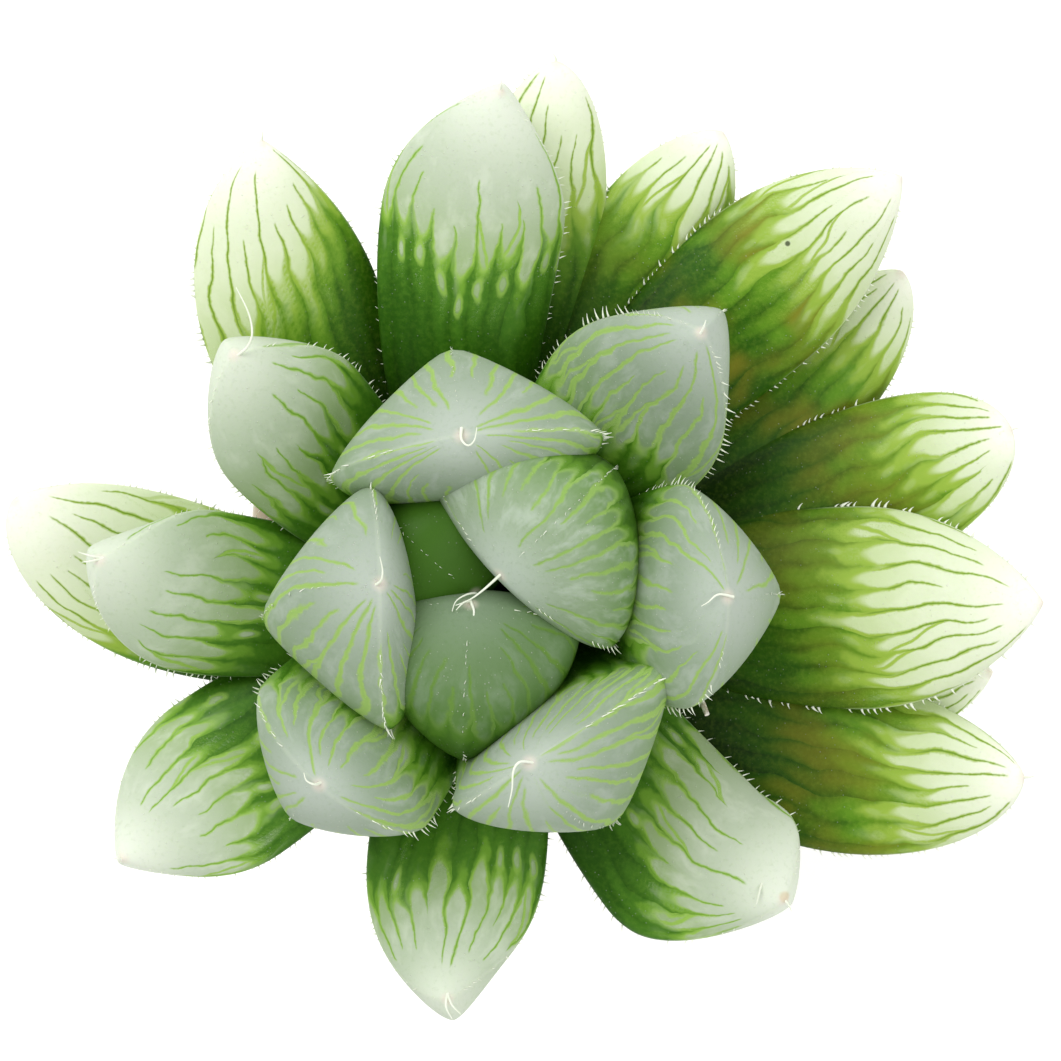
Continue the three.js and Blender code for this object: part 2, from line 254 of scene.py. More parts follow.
leaves = [
    dict(ring="bud", tip=(-2.4, -3.5, 25), start=40, end=44, width=20.5, lower=9.5, tipPitch=145, clear=12),
    dict(ring="bud", tip=(-4.7, -5.7, 23.5), start=266, end=266, width=17, lower=10.5, clear=11, pale=0.35),
    dict(ring="bud", tip=(-4.4, -5.1, 21), start=140, end=140, width=16, clear=-4, pale=0),
    dict(ring="crown", tip=(-5.3, 7.3, 28), start=100, end=98, width=21.5, lower=8.8, tipPitch=66, clear=13),
    dict(ring="crown", tip=(2.4, -16.2, 28), start=-63, end=-57, width=19.5, lower=8, tipPitch=98,
         tipShift=-3, clear=13),
    dict(ring="crown", tip=(-11.5, -6.2, 28), start=200, end=181, width=19, lower=9, tipPitch=100, clear=13,
         tipShift=-2.1),
    dict(ring="crown", tip=(15.2, -5.1, 28), start=-10, end=3, width=17.5, upper=3, lower=9, tipPitch=52,
         clear=14),
    dict(ring="crown", tip=(13.2, 15.3, 27), start=48, end=46, width=15.5, upper=2.5, lower=6.5,
         basePitch=50, tipPitch=62, widest=0.6, widthBluntness=0.8, clear=17),
    dict(ring="crown", tip=(-16.4, -19.7, 26), start=232, end=229, width=17, lower=7, basePitch=45,
         tipPitch=70, clear=12),
    dict(ring="middle", tip=(-23.2, 13.8, 23), start=172, end=125, width=13.5, clear=12, slant=3,
         pale=0.86),
    dict(ring="middle", tip=(-34.1, -2.3, 20), start=207, end=140, width=13.3, clear=13, slant=1,
         pale=0.84),
    dict(ring="middle", tip=(18.6, -32, 16), start=-71, end=-36, width=15.5, tipPitch=45, tipShift=3,
         lower=7, widest=0.76, clear=12.5, slant=5, pale=0.95),
    dict(ring="middle", tip=(-6.6, -37.3, 18), start=257, end=282, width=14.5, tipPitch=75, widest=0.58,
         clear=10.5, pale=0.86),
    dict(ring="middle", tip=(-32.8, -26.4, 15), start=228, end=222, width=14.8, tipPitch=45, clear=12),
    dict(ring="middle", tip=(-2.4, 34.9, 19), start=118, end=70, width=14.8, tipPitch=50, clear=15,
         widthBluntness=0.95),
    dict(ring="outer", tip=(-21.6, 31.3, 15), start=165, end=88, width=15, clear=13.5, slant=7),
    dict(ring="outer", tip=(41, -5.8, 16), start=-20, end=3, width=16.5, clear=15, ochre=0.4,
         toothLength=0.75),
    dict(ring="outer", tip=(29.7, 28.3, 16), start=52, end=34, width=13.8, clear=12, slant=0, ochre=1),
    dict(ring="outer", tip=(39, 8.2, 12), start=-10, end=22, widthBluntness=0.5, clear=8, ochre=0.5),
    dict(ring="outer", tip=(40, -20, 12), start=-60, end=8, width=14.6, widthBluntness=0.65, clear=10,
         ochre=0.6),
    dict(ring="outer", tip=(-41.9, 2.5, 12), start=215, end=135, widthBluntness=0.65, clear=15),
    dict(ring="outer", tip=(2.1, 38, 12), start=90, end=85, width=11, widthBluntness=0.6, clear=12),
    dict(ring="outer", tip=(15.6, 32.4, 11), start=73, end=56, width=11.5, widthBluntness=0.7, clear=9,
         slant=2, ochre=0.2),
    dict(ring="outer", tip=(30.4, 21.2, 9), start=13, end=60, width=10.8, widthBluntness=0.65, clear=8,
         ochre=0.9),
    dict(ring="outer", tip=(37.8, -11.6, 9), start=-32, end=12, width=12.5, clear=9),
]
leaves = [{**rings[leaf["ring"]], **leaf} for leaf in leaves]


def soft(t):
    t = np.clip(t, 0, 1)
    return t * t * (3 - 2 * t)


def share(value, start):
    return np.clip((value - start) / (1 - start), 0, 1)


def swell(along, start, peak, taper, bluntness):
    grown = start + (1 - start) * soft(along / peak)
    return np.where(along <= peak, grown, (1 - share(along, peak) ** taper) ** bluntness)


def heading(turn, pitch):
    return np.array([math.cos(turn) * math.cos(pitch), math.sin(turn) * math.cos(pitch), math.sin(pitch)])


def unit(rows):
    return rows / np.linalg.norm(rows, axis=-1, keepdims=True)


# Points of a leaf's skin in metres for numpy arrays of along (0 base, 1 tip) and around (0 to 1, margins
# at 0 and 0.5, keel at 0.75), with the direction out of the skin's section.
def leafPoints(leaf, along, around):
    first, last = math.radians(leaf["start"]), math.radians(leaf["end"])
    climb = leaf["baseHeight"] / stemLine["leafyHeight"]
    axis = np.array(stemLine["start"]) * (1 - climb) + np.array(stemLine["end"]) * climb
    base = np.array([*axis, leaf["baseHeight"]]) + heading(first, 0) * leaf["baseRadius"]
    tip = np.array(leaf["tip"], float)
    length = np.linalg.norm(tip - base)
    bend = base + heading(first, math.radians(leaf["basePitch"])) * length * leaf["baseReach"]
    hook = tip - heading(last, math.radians(leaf["tipPitch"])) * length * leaf["tipReach"]
    u = along[..., None]
    middle = (1 - u) ** 3 * base + 3 * u * (1 - u) ** 2 * bend + 3 * u * u * (1 - u) * hook + u ** 3 * tip
    tangent = unit((1 - u) ** 2 * (bend - base) + 2 * u * (1 - u) * (hook - bend) + u * u * (tip - hook))
    turn = first + (last - first) * along
    sideways = np.stack([-np.sin(turn), np.cos(turn), 0 * turn], -1)
    sideways = unit(sideways - (sideways * tangent).sum(-1, keepdims=True) * tangent)
    upwards = np.cross(tangent, sideways)
    thickness = swell(along, leaf["baseThickness"], leaf["thickest"], leaf["thicknessTaper"],
                      leaf["thicknessBluntness"])
    halfWidth = leaf["width"] / 2 * swell(along, leaf["baseWidth"], leaf["widest"], leaf["widthTaper"],
                                          leaf["widthBluntness"])
    sine, cosine = np.sin(around * 2 * math.pi), np.cos(around * 2 * math.pi)
    ridge = leafMesh["keelRounding"]
    edge = (np.sqrt(cosine ** 2 + ridge ** 2) - ridge) / (math.sqrt(1 + ridge ** 2) - ridge)
    curved = np.abs(sine) ** leaf["sectionPower"]
    keelLeft = 1 + (leaf["keelAtTip"] - 1) * share(along, leaf["thickest"])
    keel = leaf["keel"] * soft(along / leaf["thickest"]) * keelLeft
    above = curved * leaf["upper"] * thickness
    below = ((1 - keel) * curved + keel * (1 - edge)) * leaf["lower"] * thickness
    lifted = leaf["lift"] * soft(along * 2) * (1 - share(along, leaf["thickest"]) ** 2)
    shifted = leaf["tipShift"] * soft(share(along, leaf["thickest"]))
    x = cosine * halfWidth + shifted
    y = np.where(sine >= 0, above, -below) + lifted
    points = middle + sideways * x[..., None] + upwards * y[..., None]
    outward = unit(sideways * cosine[..., None] + upwards * sine[..., None])
    return (points + np.array([0, 0, leafLevel])) * mm, outward


def buildMesh(name, points, edges, faces, material=None):
    mesh = bpy.data.meshes.new(name)
    mesh.from_pydata([tuple(p) for p in points], edges, faces)
    if material:
        mesh.materials.append(material)
    mesh.polygons.foreach_set("use_smooth", [True] * len(mesh.polygons))
    piece = bpy.data.objects.new(name, mesh)
    bpy.context.scene.collection.objects.link(piece)
    return piece


# Lengths in mm over a leaf's rows of points: from the tip down each line, and round each row, as a share
# of its upper and lower face, 0 to 0.5 and 0.5 to 1, and in all.
def measureSkin(rows):
    steps = np.linalg.norm(np.diff(rows, axis=0), axis=-1) / mm
    fromTip = np.vstack([np.cumsum(steps[::-1], axis=0)[::-1], np.zeros(rows.shape[1])])
    chords = np.linalg.norm(np.roll(rows, -1, axis=1) - rows, axis=-1) / mm
    half = rows.shape[1] // 2
    across = []
    for face in (chords[:-1, :half], chords[:-1, half:]):
        run = np.cumsum(face, axis=1)
        across.append(np.hstack([0 * run[:, :1], run]) / run[:, -1:] / 2)
    across = np.hstack([across[0][:, :-1], across[1] + 0.5])
    return fromTip, np.vstack([across, across[-1:]]), chords.sum(axis=1)


def buildLeaf(number, leaf, material):
    rows, sides = leafMesh["rows"], leafMesh["sides"]
    along = 1 - (1 - np.linspace(0, 1, rows)) ** leafMesh["tipCrowding"]
    grid = np.meshgrid(along, np.arange(sides) / sides, indexing="ij")
    skin, _ = leafPoints(leaf, *grid)
    fromTip, across, girth = measureSkin(skin)
    baseMiddle = skin[0].mean(axis=0)
    points = [baseMiddle, *skin[:-1].reshape(-1, 3), skin[-1, 0]]
    girths = [girth[0], *np.repeat(girth[:-1], sides), girth[-1]]
    faces, places = [], []

    def corner(row, side):
        return across[row, side], fromTip[row, side % sides] / leafMapSpan

    def base(side):
        inward = np.linalg.norm(skin[0, side % sides] - baseMiddle) / mm
        return across[0, side], (fromTip[0, side % sides] + inward) / leafMapSpan

    for side in range(sides):
        after = (side + 1) % sides
        faces.append((0, 1 + after, 1 + side))
        places += [base(side), corner(0, side + 1), corner(0, side)]
        for row in range(rows - 2):
            here = 1 + row * sides
            faces.append((here + side, here + after, here + sides + after, here + sides + side))
            places += [corner(row, side), corner(row, side + 1)]
            places += [corner(row + 1, side + 1), corner(row + 1, side)]
        last = 1 + (rows - 2) * sides
        faces.append((last + side, last + after, len(points) - 1))
        places += [corner(rows - 2, side), corner(rows - 2, side + 1), corner(rows - 1, side)]
    piece = buildMesh(f"leaf{number:02d}Skin", points, [], faces, material)
    chart = piece.data.uv_layers.new(name="leafMap")
    chart.data.foreach_set("uv", np.array(places, np.float32).ravel())
    lanes = round(leaf["width"] * leafLooks[leaf["ring"]]["lanesPerMm"])
    traits = {"leafGirth": girths, "leafSeed": number * 0.37 % 1, "leafLanes": lanes}
    traits.update({"leaf" + trait.title(): leaf[trait] for trait in ("clear", "slant", "ochre", "pale")})
    for name, value in traits.items():
        trait = piece.data.attributes.new(name, "FLOAT", "POINT")
        trait.data.foreach_set("value", np.broadcast_to(value, len(points)).astype(np.float32))
    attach(piece, "root")
    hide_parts(f"leaf_{number:02d}")
    return piece


# Colours of each ring's leaves, and their green veins. Lengths are in mm. From the tip down come tip, a
# painted glow of light shining through the window's top, window and dim, then vein, lit, flesh and base at
# the depths below the window's foot, and deep, a painted shade far down where other leaves shade the base;
# core is the line inside a vein. Veins fade out between the two stops, as shares of the way from the tip to
# the foot.
leafLooks = {
    "bud": dict(
        tip=linear(192, 205, 190), window=linear(144, 164, 132), dim=linear(110, 143, 84),
        vein=linear(142, 176, 92), core=linear(138, 174, 88), lit=linear(92, 136, 40),
        flesh=linear(60, 100, 24), base=linear(32, 62, 4), paintedShade=linear(18, 38, 2),
        depths=(1, 2.5, 6), streaks=1, fade=0.5, arch=1.4, ragged=2.5, lanesPerMm=1.7, veinWidth=0.32,
        twist=0.4, stops=(0.25, 0.8), bridges=0.1, islands=0, upperFace=0, rim=0, paintedSheen=0.5,
    ),
    "crown": dict(
        tip=linear(178, 189, 176), window=linear(143, 160, 137), dim=linear(126, 152, 108),
        vein=linear(152, 184, 100), core=linear(146, 180, 96), lit=linear(108, 154, 48),
        flesh=linear(64, 114, 18), base=linear(28, 74, 0), paintedShade=linear(14, 42, 0),
        depths=(1, 2.5, 6), streaks=1.2, fade=0.35, arch=1.6, ragged=3, lanesPerMm=1.28, veinWidth=0.46,
        twist=0.45, stops=(0.03, 0.55), bridges=0.25, islands=0.2, upperFace=-4, rim=0.12, paintedSheen=0.5,
    ),
    "middle": dict(
        tip=linear(226, 233, 216), window=linear(186, 199, 174), dim=linear(158, 180, 132),
        vein=linear(152, 190, 84), core=linear(116, 158, 60), lit=linear(112, 158, 48),
        flesh=linear(66, 116, 22), base=linear(38, 84, 0), paintedShade=linear(16, 44, 0),
        depths=(0.9, 2.6, 8), streaks=0.9, fade=0.3, arch=2.4, ragged=3.6, lanesPerMm=1.3, veinWidth=0.4,
        twist=0.3, stops=(0.2, 0.9), bridges=0.25, islands=0.85, upperFace=0, rim=0.2, paintedSheen=0.35,
    ),
    "outer": dict(
        tip=linear(247, 249, 234), window=linear(218, 228, 196), dim=linear(196, 213, 160),
        vein=linear(156, 184, 72), core=linear(112, 146, 48), lit=linear(146, 178, 64),
        flesh=linear(90, 138, 24), base=linear(42, 88, 0), paintedShade=linear(16, 40, 0),
        depths=(1.3, 3.8, 8.5), streaks=2, fade=0.6, arch=2.6, ragged=4, lanesPerMm=1.2, veinWidth=0.34,
        twist=0.16, stops=(0.08, 0.55), bridges=0.2, islands=0.16, upperFace=0, rim=0.4, paintedSheen=0.15,
    ),
}
# tones for marks on the leaves; rim is a painted highlight along the margins
leafTones = {
    "ochre": linear(136, 126, 34), "speck": linear(236, 240, 226), "rim": linear(220, 230, 204),
    "point": linear(230, 216, 204), "brown": linear(196, 164, 96), "dark": linear(44, 52, 30),
}
leafPattern = {  # waves of noise to the metre, and lengths in mm
    "grain": 2600.0, "mottle": 420.0, "cloud": 120.0, "specks": 2100.0,
    "roughEdge": 0.22,  # how far grain moves a vein's edge
    "crumbs": 5,  # how far mottling moves the bands of green
    "slope": 6,  # rise of a bridge from one vein to the next
    "islandDepth": 1.3, "islandSpread": 1.2, "islandWidth": 0.3, "islandLength": 0.65,
    "paintedShadeReach": 10, "ochreReach": (1.0, 5.0, 8.0, 13.0), "rimHighlightReach": (0.05, 0.3), "pointReach": (0.1, 0.9),
}
marks = [  # small blemishes: place and radius in mm, tone and strength
    dict(place=(20.7, 23.1, 62.6), radius=0.28, tone="dark", strength=0.85),
    dict(place=(20.3, -29.3, 64.4), radius=0.6, tone="brown", strength=0.35),
]


def leafMaterial(name, look):
    paint = Paint(name)
    chart = paint.node("ShaderNodeUVMap", {"uv_map": "leafMap"})
    across = paint.part(chart, 0)
    fromTip = paint.part(chart, 1) * leafMapSpan
    girth, seed, lanes = paint.trait("leafGirth"), paint.trait("leafSeed"), paint.trait("leafLanes")
    place = paint.place()
    grain = paint.noise(place, leafPattern["grain"], 2.0, 0.6)
    mottle = paint.noise(place, leafPattern["mottle"], 3.0, 0.6)
    cloud = paint.noise(place, leafPattern["cloud"], 2.0)

    # lanes run up the leaf, with a vein on each whole number and a clear cell between two veins
    sway = paint.noise(paint.vector(across * lanes * 0.3, fromTip * 0.16, seed * 50), 1.0, 1.0) - 0.5
    twist = paint.noise(paint.vector(across * lanes, fromTip * 0.8, seed * 50 + 9), 1.0, 1.0) - 0.5
    lane = across * lanes + sway * 1.6 + twist * look["twist"]
    cell = lane.floor()
    vein = (lane + 0.5).floor()
    spacing = girth / lanes
    beside = abs(lane - vein) * spacing
    aside = abs(lane - cell - 0.5)

    # the window's foot, ragged, and the height above it where each vein fades out
    fold = abs(across * 2 - 1) * 2 - 1
    upperFace = (across * 2 * math.pi).sine().most(0.0)
    clear = paint.trait("leafClear") + paint.trait("leafSlant") * fold + upperFace * look["upperFace"]
    foot = clear + (paint.random(cell, seed) - 0.5) * look["ragged"]
    low, high = look["stops"]
    stop = clear * (low + (high - low) * paint.random(vein, seed + 3))
    climb = ((fromTip - stop) / (clear - stop)).most(0.0).least(1.0)
    half = (climb ** 0.45 + climb.ease(0.7, 1.05)) * (0.55 + mottle * 0.9) * look["veinWidth"] / 2
    past = beside - half + (grain - 0.5) * leafPattern["roughEdge"]
    veins = (1 - past.ease(-0.08, 0.12)) * climb.ease(0.0, 0.05)

    # slanting veins from one vein to the next, and the green below the foot, with small closed cells in it
    leftOrRight = paint.random(cell, seed + 7).ease(0.49, 0.51) * 2 - 1
    slope = (lane - cell - 0.5) * leftOrRight * leafPattern["slope"]
    bridgeAt = foot * (0.78 + 0.2 * paint.random(cell, seed + 8))
    bridge = 1 - abs(fromTip - bridgeAt - slope).ease(0.25, 0.75)
    bridged = paint.random(cell, seed + 9).ease(1 - look["bridges"], 1.01 - look["bridges"])
    veins = veins.most(bridge * bridged)
    depth = fromTip - foot + aside * aside * 4 * look["arch"]
    below = depth.ease(-look["fade"], look["fade"])
    islandAt = foot + leafPattern["islandDepth"] + paint.random(cell, seed + 5) * leafPattern["islandSpread"]
    islandAside = aside * spacing / leafPattern["islandWidth"]
    islandAway = (islandAside ** 2 + ((fromTip - islandAt) / leafPattern["islandLength"]) ** 2) ** 0.5
    ringed = paint.random(cell, seed + 6).ease(0.5, 0.51) * look["islands"]
    island = (1 - islandAway.ease(0.6, 1.2)) * ringed
    outline = islandAway.ease(0.7, 1.1) * (1 - islandAway.ease(1.2, 2.0)) * ringed
    green = veins.most(below) * (1 - island)

    streak = paint.noise(paint.vector(lane * 1.7, fromTip * 0.25, seed * 50), 1.0, 2.0)
    first, second, third = look["depths"]
    tone = paint.mix(depth.ease(0.0, first), look["vein"], look["lit"])
    ragged = depth + (streak - 0.5) * look["streaks"] + (mottle - 0.5) * leafPattern["crumbs"]
    tone = paint.mix(ragged.ease(first, second), tone, look["flesh"])
    tone = paint.mix(ragged.ease(second, third), tone, look["base"])
    # painted shade: the green is painted darker far below the window, where other leaves shade the base
    tone = paint.mix(depth.ease(third, third + leafPattern["paintedShadeReach"]) * 0.9, tone, look["paintedShade"])
    tone = paint.mix(streak.ease(0.5, 0.72) * (1 - depth.ease(0.5, 5.0)) * below * 0.4, tone, look["dim"])
    tone = paint.mix(outline * 0.8, tone, look["vein"])
    speckled = grain.ease(0.35, 0.9) * (0.28 - depth.ease(2.0, 14.0) * 0.16)
    tone = paint.mix(speckled, tone, look["lit"])
    core = (1 - (beside / half.most(0.05)).ease(0.1, 0.8)) * veins * (1 - below)
    tone = paint.mix(core, tone, look["core"])
    tone = paint.mix(1 - paint.trait("leafPale"), tone, look["flesh"])
    start, full, fading, end = leafPattern["ochreReach"]
    ochre = cloud.ease(0.38, 0.6) * depth.ease(start, full) * (1 - depth.ease(fading, end))
    tone = paint.mix(ochre * (0.4 + streak * 0.6) * paint.trait("leafOchre"), tone, leafTones["ochre"])

    up = fromTip / clear.most(1.0)
    window = paint.mix(up.ease(0.5, 1.0), look["window"], look["dim"])
    # painted highlight: the window is painted paler towards the tip, for light shining through it, and in
    # soft patches, for a painted sheen of the lamps
    paintedSheen = paint.noise(paint.vector(lane * 0.9, fromTip * 0.3, seed * 50 + 4), 1.0, 3.0, 0.6)
    paintedHighlight = (1 - up.ease(0.0, 0.6)).most(paintedSheen.ease(0.42, 0.72) * look["paintedSheen"])
    window = paint.mix(paintedHighlight, window, look["tip"])
    window = paint.mix(grain.ease(0.5, 0.8) * 0.22, window, look["dim"])
    window = paint.mix(1 - paint.trait("leafPale"), window, look["flesh"])
    colour = paint.mix(green, window, tone)

    dots = (1 - paint.cells(place, leafPattern["specks"]).ease(0.06, 0.17)) * mottle.ease(0.42, 0.56)
    colour = paint.mix(dots * (0.28 - green * 0.12), colour, leafTones["speck"])
    # painted rim highlight: a pale line along the margins, fading away lower down the leaf
    fromMargin = ((1 - abs(fold)) * girth / 4).least(9.0)
    rim = (1 - fromMargin.ease(*leafPattern["rimHighlightReach"])) * (1 - depth.ease(2.0, 9.0))
    colour = paint.mix(rim * look["rim"], colour, leafTones["rim"])
    colour = paint.mix((1 - fromTip.ease(*leafPattern["pointReach"])) * 0.6, colour, leafTones["point"])
    for mark in marks:
        spot = paint.near(place, mark["place"], mark["radius"])
        colour = paint.mix(spot * mark["strength"], colour, leafTones[mark["tone"]])
    roughness = 0.44 + mottle * 0.16 - green * 0.04
    relief = grain * 0.3 + dots * 0.5 + mottle * 0.5 - green * 0.3
    return paint.finish(
        colour, roughness, relief, 0.00007, Subsurface_Weight=0.1, Subsurface_Scale=0.0008,
        Subsurface_Radius=(0.7, 1.0, 0.4), Specular_IOR_Level=0.14,
    )


leafMaterials = {ring: leafMaterial(f"{ring} leaf", look) for ring, look in leafLooks.items()}
for number, leaf in enumerate(leaves, 1):
    buildLeaf(number, leaf, leafMaterials[leaf["ring"]])
print("leaves made:", len(leaves))


# ---- teeth along the margins and the keels, and the long hair at each tip

teeth = {
    "spacing": 0.5,  # mm
    "stoutness": {"bud": 0.11, "crown": 0.11, "middle": 0.13, "outer": 0.24},  # foot radius over length
    "bend": 1.8,  # in foot radii
    "seed": 7,
    "colour": linear(246, 248, 238),
    "shade": linear(222, 230, 204),
    "lengths": {"bud": 0.85, "crown": 0.95, "middle": 0.6, "outer": 0.5},  # mm, the longest of each ring
    "presence": {"bud": 0.6, "crown": 0.6, "middle": 0.45, "outer": 0.6},  # away from the widest place
    "most": {"bud": 0.9, "crown": 1, "middle": 0.7, "outer": 0.75},
    "spread": {"bud": 0.09, "crown": 0.09, "middle": 0.16, "outer": 0.2},
    "peaks": {"bud": 0.7, "crown": 0.8, "middle": 0.7, "outer": 0.6},
    "stretch": (0.3, 0.98),  # from and to, as shares of the leaf
    "keelStretch": (0.5, 0.98),
    "hook": 0.35, "keelHook": 1.4,  # lean towards the leaf's tip
    "keelShare": 0.8,  # of the length on the margins
    "stray": 0.35, "smallest": 0.45, "largest": 1.1,
    "pointsPerRow": 90,
}


def hornMaterial():
    paint = Paint("pale horn")
    place = paint.place()
    tone = paint.mix(paint.noise(place, 900.0), teeth["colour"], teeth["shade"])
    return paint.finish(tone, 0.4 + paint.noise(place, 500.0) * 0.2, Specular_IOR_Level=0.3)


def toothRow(leaf, around, stretch, length, hook):
    along = np.linspace(*stretch, teeth["pointsPerRow"])
    points, outward = leafPoints(leaf, along, np.full(len(along), around))
    ahead = unit(np.gradient(points, axis=0))
    ring = leaf["ring"]
    widest = np.exp(-((along - teeth["peaks"][ring]) / teeth["spread"][ring]) ** 2)
    sizes = length * (0.65 + 0.35 * widest) * soft((1 - along) / 0.04)
    presence = teeth["presence"][ring] * (1 - widest) + teeth["most"][ring] * widest
    return points, unit(outward + hook * ahead), sizes, presence


def buildTeeth(material):
    points, aims, sizes, shares, breadths, edges = [], [], [], [], [], []
    for leaf in leaves:
        length = leaf.get("toothLength", teeth["lengths"][leaf["ring"]])
        rows = [toothRow(leaf, margin, teeth["stretch"], length, teeth["hook"]) for margin in (0.0, 0.5)]
        if leaf["ring"] in ("bud", "crown"):
            keelLength = length * teeth["keelShare"]
            rows.append(toothRow(leaf, 0.75, teeth["keelStretch"], keelLength, teeth["keelHook"]))
        for places, aim, size, presence in rows:
            first = len(points)
            points += list(places)
            aims += list(aim)
            sizes += list(size)
            shares += list(presence)
            breadths += [teeth["stoutness"][leaf["ring"]]] * len(places)
            edges += [(first + step, first + step + 1) for step in range(len(places) - 1)]
    carrier = buildMesh("toothLines", points, edges, [])
    carrier.data.attributes.new("aim", "FLOAT_VECTOR", "POINT").data.foreach_set("vector", np.ravel(aims))
    for name, values in (("length", sizes), ("presence", shares), ("stoutness", breadths)):
        carrier.data.attributes.new(name, "FLOAT", "POINT").data.foreach_set("value", values)

    tree = Grower("teeth along lines")
    spacing = tree.size("Spacing", teeth["spacing"] * mm)
    bend = tree.size("Bend", teeth["bend"])
    seed = tree.size("Seed", teeth["seed"], "Int")
    line = tree.node("GeometryNodeMeshToCurve", inputs={"Mesh": tree.carrier})
    line = tree.node("GeometryNodeResampleCurve", {"mode": "LENGTH"}, {"Curve": line, "Length": spacing})
    cone = {"Vertices": 5, "Side Segments": 3, "Radius Top": 0.12, "Radius Bottom": 1.0, "Depth": 1.0}
    tooth = tree.node("GeometryNodeMeshCone", inputs=cone)
    height = tree.part(tree.node("GeometryNodeInputPosition"), 2)
    hooked = {"Geometry": tooth, "Offset": tree.vector(bend * height * height, 0.0, 0.0)}
    tooth = tree.node("GeometryNodeSetPosition", inputs=hooked)
    stray = tree.randomVector((-teeth["stray"],) * 3, (teeth["stray"],) * 3, seed)
    aim = {0: tree.named("aim", "FLOAT_VECTOR"), 1: stray}
    aim = tree.node("ShaderNodeVectorMath", {"operation": "ADD"}, aim)
    turn = tree.node("FunctionNodeAlignRotationToVector", {"axis": "Z"}, {"Vector": aim})
    length = tree.named("length") * tree.random(teeth["smallest"], teeth["largest"], seed) * mm
    breadth = length * tree.named("stoutness")
    scale = tree.vector(breadth, breadth, length)
    kept = tree.maths("GREATER_THAN", tree.named("presence"), tree.random(0.0, 1.0, seed + 1))
    placed = {"Points": line, "Selection": kept, "Instance": tooth, "Rotation": turn, "Scale": scale}
    shape = tree.node("GeometryNodeInstanceOnPoints", inputs=placed)
    piece = tree.grow("teeth", carrier, shape, material)
    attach(piece, "root")
    print("teeth made, faces:", len(piece.data.polygons))


# The hairs by leaf number: points in mm from the leaf's tip, with +Y up the picture.
awns = {
    "thickness": 0.26,  # mm across at the root
    "taper": 0.75,
    "routes": [
        (1, [(0.3, 0.3, -0.1), (-0.9, -0.8, 0.6), (-1.9, -1.6, 0.7), (-2.6, -2.0, 0.5), (-3.4, -2.3, 0.6)]),
        (2, [(0, 0.2, -0.1), (0.3, -0.6, 0.6), (0.1, -1.5, 0.8), (-0.3, -2.2, 0.6)]),
        (2, [(0, 0.2, -0.1), (-0.5, 0.1, 0.7), (-1.1, -0.5, 0.8)]),
        (3, [(0, 0, -0.1), (0.1, 0.2, 1.5), (-0.6, 0.1, 2.6), (-1.4, -0.4, 3.0), (-1.7, -1.2, 3.2)]),
        (4, [(0, 0.6, -0.1), (0, -0.3, 0.5), (0.5, -0.8, 0.8), (1.0, -0.4, 1.0), (1.2, 0.6, 1.0)]),
        (5, [(0.3, 0, -0.1), (-0.7, 0.1, 0.5), (-1.2, -0.6, 0.7), (-1.3, -2.0, 0.6), (-1.6, -3.4, 0.3)]),
        (6, [(-0.4, -0.1, -0.1), (0.1, 0.3, 0.5), (0.2, 1.1, 0.8), (0, 2.1, 0.9)]),
        (7, [(0.4, 0, -0.1), (-0.8, 0.2, 0.5), (-1.6, -0.4, 0.6), (-2.1, -0.7, 0.5)]),
        (8, [(-0.2, -0.3, -0.2), (0.1, 0.3, 0.3), (0.3, 0.9, 0.4)]),
        (9, [(0.2, 0.2, -0.1), (-0.3, 0.1, 0.5), (-0.9, 0.4, 0.5), (-1.1, 1.0, 0.4)]),
        (10, [(0, -0.3, -0.3), (1.1, 0.5, 0.4), (1.5, 1.6, 0.6), (1.2, 3.2, 0.6), (0.2, 5.2, 0.2)]),
        (11, [(0.4, 0.1, -0.2), (-0.6, 0.3, 0.1), (-1.6, 0.6, 0.1)]),
        (11, [(0.4, 0.1, -0.2), (-0.5, -0.1, 0.1), (-1.3, -0.2, 0.1)]),
        (12, [(0, 0, -0.2), (0.3, -0.4, 0.2), (0.5, -0.9, 0.2)]),
        (12, [(-1.8, 1.5, -0.1), (-2.1, 0.6, 0.4), (-2.3, -0.3, 0.3)]),
        (13, [(0, 0.5, -0.2), (-0.1, -0.5, 0.4), (0.4, -1.5, 0.4)]),
        (13, [(0, 0.5, -0.2), (0.4, -0.4, 0.4), (1.1, -1.1, 0.5)]),
        (14, [(0, 0, -0.2), (-0.4, 0.1, 0.2), (-0.9, 0, 0.3)]),
        (15, [(0, 0, -0.2), (0.1, 0.4, 0.2), (0.1, 0.9, 0.2)]),
        (16, [(0, 0, -0.2), (0.1, 0.4, 0.1), (0.1, 0.8, 0.1)]),
        (19, [(0, 0, -0.2), (0.4, 0.1, 0.1), (0.8, 0.1, 0.1)]),
        (20, [(0, 0, -0.2), (0.4, 0, 0.1), (0.8, 0.1, 0.2)]),
        (22, [(0, 0, -0.2), (-0.1, 0.4, 0.1), (-0.4, 0.7, 0.1)]),
    ],
}


